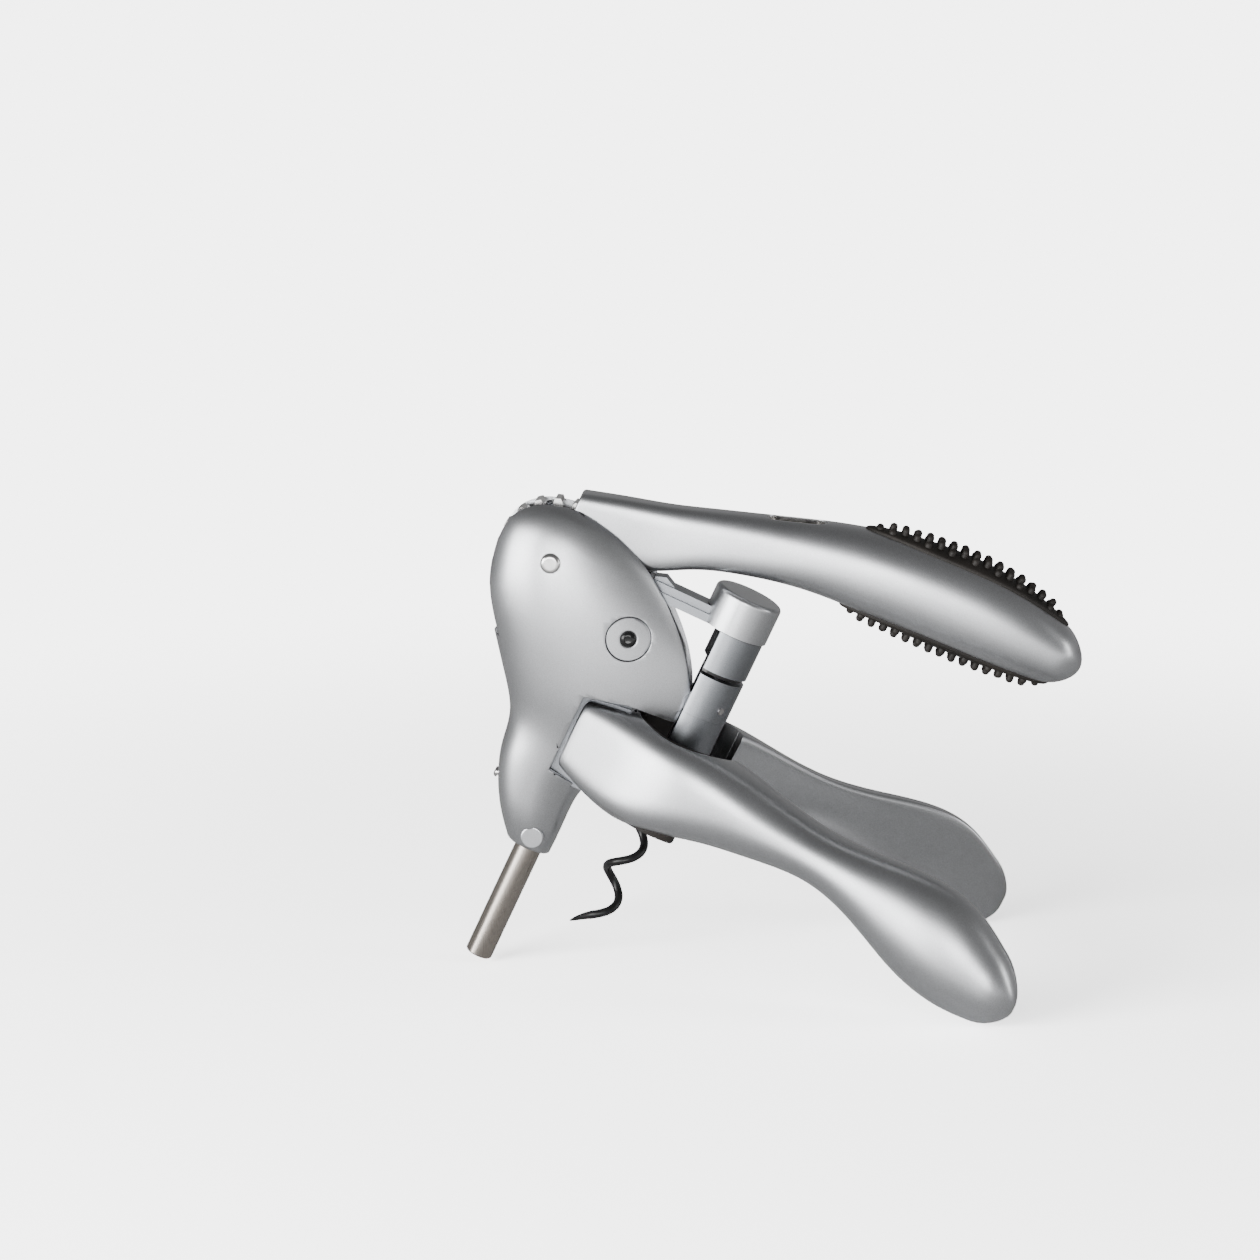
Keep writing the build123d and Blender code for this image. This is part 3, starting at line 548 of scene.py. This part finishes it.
def eye(side):
    """The round cover disc, crowned like the casing round it, and the glossy screw in it."""
    rings = []
    for radius, drop in ((BEAD_R + 0.05, 0.5), (BEAD_R + 0.05, 0.1), (BEAD_R + 0.25, 0.0)) + tuple(
        (BEAD_R + 0.25 + (EYE_R - 0.2 - BEAD_R - 0.25) * i / 8, 0.0) for i in range(1, 9)
    ) + ((EYE_R, 0.2), (EYE_R, 1.4)):
        ring = []
        for i in range(72):
            x, z = EYE.x + radius * cos(2 * pi * i / 72), EYE.z + radius * sin(2 * pi * i / 72)
            ring.append((x, -head_height(x, z) + drop + 0.02, z))
        rings.append(ring)
    back = [[(x, -EYE_DEEP - 0.05, z) for x, _, z in rings[-1 - i * (len(rings) - 1)]] for i in (0, 1)]
    rings = rings + back
    count = len(rings[0])
    vertices = [point for ring in rings for point in ring]
    faces = []
    for i in range(len(rings)):
        a, b = i * count, (i + 1) % len(rings) * count
        faces += [(a + j, a + (j + 1) % count, b + (j + 1) % count, b + j) for j in range(count)]
    disc = new_object(f"{side}_eye_cover", vertices, faces)
    finished(disc, MATERIALS["satin_silver"], "head", [f"{side}_eye_disc"], move=SIDES[side])
    face = head_height(EYE.x, EYE.z)
    dome = [(0, BEAD_R), (1.6, BEAD_R)]
    dome += [(1.6 + 0.95 * sin(a), 1.2 + (BEAD_R - 1.2) * cos(a)) for a in (0.4, 0.8, 1.2, pi / 2)]
    dome += [(2.2, 1.05), (2.1, 0.3)]
    bead = lathe(f"{side}_eye_bead", (EYE.x, -face + 1.6, EYE.z), (0, -1, 0), dome)
    finished(bead, MATERIALS["black_gloss"], "head", [f"{side}_eye_screw"], move=SIDES[side])


for name in SIDES:
    head_shell(name)
    eye(name)


# ---- handles ----
HANDLE_AT = natural_spline(HANDLE)
HANDLE_LOW, HANDLE_HIGH = HANDLE[0][0], HANDLE[-1][0]
INNER_FACE, SPLIT = 1.5, 5.0
RIM, DISH = 2.2, 1.3
TIP_ROUND, BUTT_ROUND = 9.0, 0.9
EARS = (64.8, 81.5)  # the lower faces of the chassis' hinge ears
EAR_R, EAR_GAP, EAR_TALL, EAR_TOP = 3.95, 0.3, 3.9, 3.6  # the room cut for each ear
LINER_GAP = 0.02


def handle_ring(x):
    """One section of the right handle: a full outer face and a dished inner face with a rolled rim."""
    low, high, out, power = HANDLE_AT(x)
    shrink = closing(x, HANDLE_LOW, HANDLE_HIGH, 0.0, TIP_ROUND)
    inset = BUTT_ROUND * (1 - closing(x, HANDLE_LOW, HANDLE_HIGH, BUTT_ROUND, 0.0)) if x < 0 else 0.0
    base = INNER_FACE + RIM
    low, high, out = low + inset, high - inset, out - inset
    outer = bow(low, high, out - base, (power, power), 49)
    inner = bow(low, high, RIM - inset * 0.5, (5.0, 5.0), 33)
    middle, half = (low + high) / 2, (high - low) / 2
    points = [(-base - y, z) for z, y in outer]
    fade = min(1.0, max(0.0, (x - 30) / 18)) * min(1.0, max(0.0, (HANDLE_HIGH - 3 - x) / 14))
    for z, y in reversed(inner[1:-1]):
        across = (z - middle) / half
        points.append((-base + y - DISH * fade * max(0.0, 1 - across**2) ** 1.5, z))
    depth = -(INNER_FACE + out) / 2
    return [(x, depth + (y - depth) * shrink, middle + (z - middle) * shrink) for y, z in points]


def handle(side):
    """The outer shell and the inner cover of one handle, opened to its stop."""
    rings = [handle_ring(x) for x in places(HANDLE_LOW, HANDLE_HIGH, 1.6, BUTT_ROUND, TIP_ROUND)]
    whole = loft("whole", rings)
    liner = LINER_R + LINER_GAP
    rooms = [lathe("liner_room", (BARREL_X, 0, 40), (0, 0, 1), ((0, liner), (80, liner)), 128)]
    for turn in (0.0, OPEN_ANGLE / 2, OPEN_ANGLE):
        room = cuboid("room", (-20, 10.6), (-6.5, 6.5), (50, 100))
        ears = [
            lathe("ear", (HINGE_X, -HINGE_Y, low - EAR_GAP), (0, 0, 1), ((0, EAR_R), (EAR_TALL, EAR_R)))
            for low in EARS
        ]
        ears += [
            cuboid("ear", (HINGE_X - EAR_R, HINGE_X + EAR_R), (-HINGE_Y, -6), (low - EAR_GAP, low + EAR_TOP))
            for low in EARS
        ]
        about = Matrix.Translation((HINGE_X, -HINGE_Y, 0))
        for cutter in (room, *ears):
            cutter.data.transform(about @ Matrix.Rotation(turn, 4, "Z") @ about.inverted())
        rooms += [room, *ears]
    combine(whole, "DIFFERENCE", *rooms)
    inside = cuboid("half", (BARREL_X, 160), (-SPLIT, 2), (40, 110))
    cover = combine(copied(whole, "cover"), "INTERSECT", inside)
    shell = combine(whole, "INTERSECT", cuboid("half", (-20, 160), (-40, -SPLIT), (40, 110)))
    hinge = Matrix.Translation((HINGE_X, -HINGE_Y, 0))
    opened = hinge @ Matrix.Rotation(-OPEN_ANGLE, 4, "Z") @ hinge.inverted()
    for piece, node in ((shell, "handle_shell"), (cover, "handle_cover")):
        soften(piece, 0.16)
        piece.name = f"{side}_{node.replace('shell', 'outer').replace('cover', 'inner')}"
        body = f"{side}_handle"
        move = SIDES[side] @ opened
        finished(piece, MATERIALS["satin_silver"], body, [f"{side}_{node}"], move=move)


for name in SIDES:
    handle(name)


# ---- lever ----
LEVER_AT = natural_spline(LEVER)
LEVER_LOW, LEVER_HIGH = LEVER[0][0], LEVER[-1][0]
LEVER_TIP_ROUND, LEVER_BUTT_ROUND = 8.5, 0.8
PAD_HALF = 7.4
PADS = {"top": (48.5, 113.0), "bottom": (51.0, 115.0)}
PAD_PROUD, PAD_SEAT = 0.9, 1.2
NUB_R, NUB_TALL, NUB_SIDES = 1.2, 2.5, 12
NUB_PITCH, NUB_APART = 3.55, 3.1  # along the lever, and across it
CHEEK_R, LEVER_PIN_R = 12.5, 2.56
WEB = ((-28.0, 124.0), (-28.0, 136.0), (-17.5, 139.0), (-17.5, 124.0))
POCKET_AT = Vector((29.7, 0, 158.8))
POCKET_RISE = radians(19.3)
POCKET_LONG, POCKET_WIDE = 18.0, 8.0
POCKET_TOP, POCKET_BOTTOM = 4.0, -4.5


def lever_ring(x):
    """One section of the lever."""
    low, high, half, power = LEVER_AT(x)
    shrink = closing(x, LEVER_LOW, LEVER_HIGH, 0.0, LEVER_TIP_ROUND)
    butt = 1 - closing(x, LEVER_LOW, LEVER_HIGH, LEVER_BUTT_ROUND, 0.0)
    inset = LEVER_BUTT_ROUND * butt if x < -20 else 0.0
    middle, tall = (low + high) / 2, (high - low) / 2 * shrink - inset
    half = half * shrink - inset
    right = bow(middle - tall, middle + tall, half, (power, power), 33)
    left = [(z, -y) for z, y in reversed(right[1:-1])]
    return [(x, -y, z) for z, y in right + left]


def lever_arm():
    """The lever with its fork, gear room and pocket."""
    rings = [lever_ring(x) for x in places(LEVER_LOW, LEVER_HIGH, 1.5, LEVER_BUTT_ROUND, LEVER_TIP_ROUND)]
    arm = loft("lever_body", rings)
    turns = [2 * pi * i / 72 for i in range(72)]
    outline = [(PIVOT.x + CHEEK_R * cos(turn), PIVOT.z + CHEEK_R * sin(turn)) for turn in turns]
    cheek = slab("cheek", outline, -HUB_HALF, HUB_HALF)
    web = slab("web", WEB, 0.2 - HUB_HALF, HUB_HALF - 0.2)
    combine(arm, "UNION", web, cheek)
    profile = ((0, GEAR_SPACE_R), (2 * GEAR_SPACE_HALF, GEAR_SPACE_R))
    room = lathe("gear_room", (PIVOT.x, GEAR_SPACE_HALF, PIVOT.z), (0, -1, 0), profile, 96)
    hole = lathe("pin_hole", (PIVOT.x, 8, PIVOT.z), (0, -1, 0), ((0, LEVER_PIN_R), (16, LEVER_PIN_R)))
    combine(arm, "DIFFERENCE", room, hole, pocket())
    soften(arm, 0.2)
    arm.name = "lever_body"
    return finished(arm, MATERIALS["satin_silver"], "lever", ["lever_arm"])


def pocket():
    """A slot-shaped prism square to the lever's top, between two depths."""
    radius, run = POCKET_WIDE / 2, (POCKET_LONG - POCKET_WIDE) / 2
    outline = []
    for i in range(25):
        turn = -pi / 2 + pi * i / 24
        outline.append((run + radius * cos(turn), radius * sin(turn)))
    outline += [(-x, -y) for x, y in outline]
    rings = [[(x, y, z) for x, y in outline] for z in (POCKET_BOTTOM, POCKET_TOP)]
    made = loft("pocket", rings)
    made.data.transform(Matrix.Translation(POCKET_AT) @ Matrix.Rotation(-POCKET_RISE, 4, "Y"))
    return made


def pad(side):
    """A rubber pad that follows the lever, with a rolled edge and staggered rows of nubs."""
    start, end = PADS[side]
    sign = 1 if side == "top" else -1
    middle, long = (start + end) / 2, (end - start) / 2

    def surface(x, y, rise):
        low, high, half, power = LEVER_AT(x)
        shrink = closing(x, LEVER_LOW, LEVER_HIGH, 0.0, LEVER_TIP_ROUND)
        centre, tall = (low + high) / 2, (high - low) / 2 * shrink
        far = min(abs(y) / (half * shrink), 0.97)
        return centre + sign * (tall * (1 - far**power) ** (1 / power) + rise)

    rows, columns = 84, 18
    lifts = ((1.0, -PAD_SEAT), (1.0, PAD_PROUD * 0.55), (0.985, PAD_PROUD * 0.85), (0.95, PAD_PROUD))
    rings = []
    for size, rise in lifts + tuple((0.95 - 0.95 * i / 7, PAD_PROUD) for i in range(1, 7)):
        ring = []
        for i in range(rows):
            turn = 2 * pi * i / rows
            x, y = middle + long * size * cos(turn), PAD_HALF * size * sin(turn)
            ring.append((x, y, surface(x, y, rise)))
        rings.append(ring)
    skin = loft(f"lever_{side}_pad", rings)
    work = bmesh.new()
    work.from_mesh(skin.data)
    count = int((end - start - 5) / NUB_PITCH)
    for row in range(count + 1):
        x = middle + (row - count / 2) * NUB_PITCH
        reach = PAD_HALF * sqrt(max(0.0, 1 - ((x - middle) / long) ** 2)) - 1.5
        whole, half = range(-2, 3), [k + 0.5 for k in range(-2, 2)]
        spots = [k * NUB_APART for k in (whole if row % 2 else half)]
        for y in spots:
            if abs(y) > reach:
                continue
            foot = surface(x, y, PAD_PROUD - 0.2)
            slope = (surface(x + 1, y, 0) - surface(x - 1, y, 0)) / 2
            tilt = (surface(x, y + 0.5, 0) - surface(x, y - 0.5, 0)) * 0.5
            along = sign * Vector((-slope, -tilt, 1)).normalized()
            end_row = 0.75 if row in (0, count) else 1.0
            tall = NUB_TALL * min(1.0, 0.55 + 0.5 * (reach - abs(y)) / 3) * end_row
            add_nub(work, Vector((x, y, foot)), along, tall)
    work.to_mesh(skin.data)
    work.free()
    nodes = [f"lever_{side}_grip"]
    return finished(skin, MATERIALS["black_rubber"], "lever", nodes, sharp=50)


def add_nub(work, foot, along, tall):
    """One round-topped nub, slightly tapered."""
    top = tall - 0.85 * NUB_R
    profile = [(0, NUB_R * 0.96), (top, NUB_R * 0.92)]
    turns = (0.35, 0.7, 1.05, 1.4)
    profile += [(top + 0.85 * NUB_R * sin(turn), NUB_R * 0.92 * cos(turn)) for turn in turns]
    previous = None
    for far, radius in profile:
        ring = [work.verts.new(p) for p in ring_about(foot + along * far, radius, along, NUB_SIDES)]
        if previous:
            for i in range(NUB_SIDES):
                k = (i + 1) % NUB_SIDES
                work.faces.new((previous[i], previous[k], ring[k], ring[i]))
        else:
            work.faces.new(list(reversed(ring)))
        previous = ring
    work.faces.new(previous)


lever_arm()
for name in PADS:
    pad(name)


# ---- worm ----
LEAD, COIL_R, WIRE_R = 18.0, 3.7, 1.22
COIL_RIGHT, COIL_LOW, COIL_TOP = 50.2, 26.2, 112.4
POINT_RUN = 7.4
SPINDLE = ((0, 4.6), (0.5, 5.1), (9.1, 5.1), (9.11, 4.4), (14.8, 4.4), (14.81, 6.2), (16.0, 6.2))
SPINDLE_LOW = 111.6


def coil_frame(z):
    """The wire's centre at a height, with its outward direction and the direction it climbs in."""
    turn = 2 * pi * (z - COIL_RIGHT) / LEAD
    outward = Vector((cos(turn), sin(turn), 0))
    climb = Vector((-sin(turn) * COIL_R * 2 * pi, cos(turn) * COIL_R * 2 * pi, LEAD)).normalized()
    return Vector((BARREL_X, 0, z)) + COIL_R * outward, outward, climb


def worm():
    """The worm: a coil drawn out to a point, and the spindle above it."""
    stations = []
    start, outward, climb = coil_frame(COIL_LOW)
    for i in range(15):
        far = 1 - i / 14
        size = max(0.16, (1 - far) ** 0.5)
        curl = outward * 0.6 * far**2 + Vector((0, 0, 0.8 * far**2))
        stations.append((start - climb * POINT_RUN * far - curl, outward, climb, size))
    count = int((COIL_TOP - COIL_LOW) / LEAD * 48)
    for i in range(1, count + 1):
        z = COIL_LOW + (COIL_TOP - COIL_LOW) * i / count
        stations.append((*coil_frame(z), 1.0))
    rings = []
    for centre, outward, climb, size in stations:
        side = climb.cross(outward)
        turns = [2 * pi * j / 20 for j in range(20)]
        rings.append([tuple(centre + WIRE_R * size * (cos(t) * outward + sin(t) * side)) for t in turns])
    coil = loft("worm_coil", rings)
    spindle = lathe("spindle", (BARREL_X, 0, SPINDLE_LOW), (0, 0, 1), SPINDLE, 64)
    combine(coil, "UNION", spindle)
    return finished(coil, MATERIALS["black_coating"], "worm", ["worm"])


worm()

# ---- stage, lights and camera ----
LENS, SENSOR = 100.0, 36.0
PITCH, PAN = radians(12.2), radians(4.3)
CONTACT = TOOL @ Vector((2.3, 0, -0.4))
EYE_POINT = Vector((0.1172, -0.9861, 0.3135))  # the camera, from the rod's point of contact


def camera():
    """The camera of the photograph: a long lens, a little above the tool and almost square to it."""
    ahead = Vector((-sin(PAN) * cos(PITCH), cos(PAN) * cos(PITCH), -sin(PITCH)))
    right = Vector((cos(PAN), sin(PAN), 0))
    data = bpy.data.cameras.new("camera")
    data.sensor_width = SENSOR
    data.lens = LENS
    data.clip_start, data.clip_end = 0.01, 50
    made = bpy.data.objects.new("camera", data)
    bpy.context.scene.collection.objects.link(made)
    turn = Matrix((right, right.cross(ahead), -ahead)).transposed().to_4x4()
    made.matrix_world = Matrix.Translation(CONTACT + EYE_POINT) @ turn
    bpy.context.scene.camera = made


def light(name, where, size, power):
    """A soft rectangular studio light, aimed at the tool."""
    data = bpy.data.lights.new(name, "AREA")
    data.shape = "RECTANGLE"
    data.size, data.size_y = size
    data.energy = power
    made = bpy.data.objects.new(name, data)
    bpy.context.scene.collection.objects.link(made)
    made.location = where
    made.rotation_euler = (LIGHTS_AIM - Vector(where)).to_track_quat("-Z", "Y").to_euler()


LIGHTS_AIM = Vector((0, 0, 0.07))
BACKDROP = 5.2  # what the camera sees behind the tool
SURROUNDINGS = ((0.0, 0.3), (0.46, 0.3), (0.52, 0.4), (0.62, 0.34), (0.74, 0.26), (1.0, 0.16))
FLOOR_FRONT = 1.6  # the lit table before the tool, as it shows in the metal
FLOOR_ALBEDO, FLOOR_SEEN, FLOOR_GLOW = 0.75, 5.6, 0.6
FLOOR_HALF = 9
FADE_START, FADE_END = 0.16, 0.55  # from the middle, where the floor turns into the backdrop
FRONT_START, FRONT_END = -0.08, -0.45


def mixed(nodes, factor, low, high):
    """A value between low and high, either of which may be another node's output."""
    node = nodes.add("ShaderNodeMix", data_type="FLOAT")
    nodes.link(factor, node.inputs[0])
    for value, socket in ((low, node.inputs[2]), (high, node.inputs[3])):
        if isinstance(value, float):
            socket.default_value = value
        else:
            nodes.link(value, socket)
    return node.outputs[0]


def floor():
    """A wide pale floor that takes the tool's shadows and fades into the backdrop."""
    far = FLOOR_HALF
    corners = [(-far, -far, 0), (far, -far, 0), (far, far, 0), (-far, far, 0)]
    made = new_object("floor", corners, [(0, 1, 2, 3)])
    paint = Nodes("floor_paint")
    where = paint.add("ShaderNodeTexCoord")
    length = paint.add("ShaderNodeVectorMath", operation="LENGTH")
    paint.link(where.outputs["Object"], length.inputs[0])
    fade = paint.add("ShaderNodeMapRange", interpolation_type="SMOOTHSTEP")
    fade.inputs["From Min"].default_value = FADE_START
    fade.inputs["From Max"].default_value = FADE_END
    paint.link(length.outputs["Value"], fade.inputs["Value"])
    faded = fade.outputs["Result"]
    seen = paint.add("ShaderNodeLightPath").outputs["Is Camera Ray"]
    shade = mixed(paint, seen, FLOOR_ALBEDO, mixed(paint, faded, FLOOR_SEEN, 0.0))
    paint.link(shade, paint.shader.inputs["Base Color"])
    parts = paint.add("ShaderNodeSeparateXYZ")
    paint.link(where.outputs["Object"], parts.inputs["Vector"])
    front = paint.add("ShaderNodeMapRange")
    front.inputs["From Min"].default_value = FRONT_START
    front.inputs["From Max"].default_value = FRONT_END
    front.inputs["To Max"].default_value = FLOOR_FRONT
    paint.link(parts.outputs["Y"], front.inputs["Value"])
    glow = mixed(paint, seen, front.outputs["Result"], mixed(paint, faded, FLOOR_GLOW, BACKDROP))
    paint.link(glow, paint.shader.inputs["Emission Strength"])
    paint.set(Roughness=1.0, Metallic=0.0, Specular_IOR_Level=0.0, Emission_Color=(1, 1, 1, 1))
    made.data.materials.append(paint.material)


class Studio(Nodes):
    """The room round the tool: dim walls under a dark ceiling, and a plain bright backdrop for the camera."""

    def __init__(self):
        world = bpy.data.worlds.new("studio")
        bpy.context.scene.world = world
        world.use_nodes = True
        self.tree = world.node_tree
        where = self.add("ShaderNodeTexCoord")
        parts = self.add("ShaderNodeSeparateXYZ")
        self.link(where.outputs["Generated"], parts.inputs["Vector"])
        height = self.add("ShaderNodeMapRange")
        height.inputs["From Min"].default_value = -1
        self.link(parts.outputs["Z"], height.inputs["Value"])
        ramp = self.add("ShaderNodeValToRGB")
        for i, (place_at, grey) in enumerate(SURROUNDINGS):
            stop = ramp.color_ramp.elements[i] if i < 2 else ramp.color_ramp.elements.new(place_at)
            stop.position, stop.color = place_at, (grey, grey, grey, 1)
        self.link(height.outputs["Result"], ramp.inputs["Fac"])
        seen = self.add("ShaderNodeLightPath").outputs["Is Camera Ray"]
        shade = mixed(self, seen, ramp.outputs["Color"], BACKDROP)
        self.link(shade, self.tree.nodes["Background"].inputs["Color"])


camera()
floor()
Studio()
light("key", (-1.05, -0.95, 0.28), (1.0, 0.8), 30.0)
light("front", (-0.15, -1.45, 0.22), (0.7, 0.5), 11.0)
light("right", (1.15, -0.15, 0.25), (0.25, 0.6), 2.5)
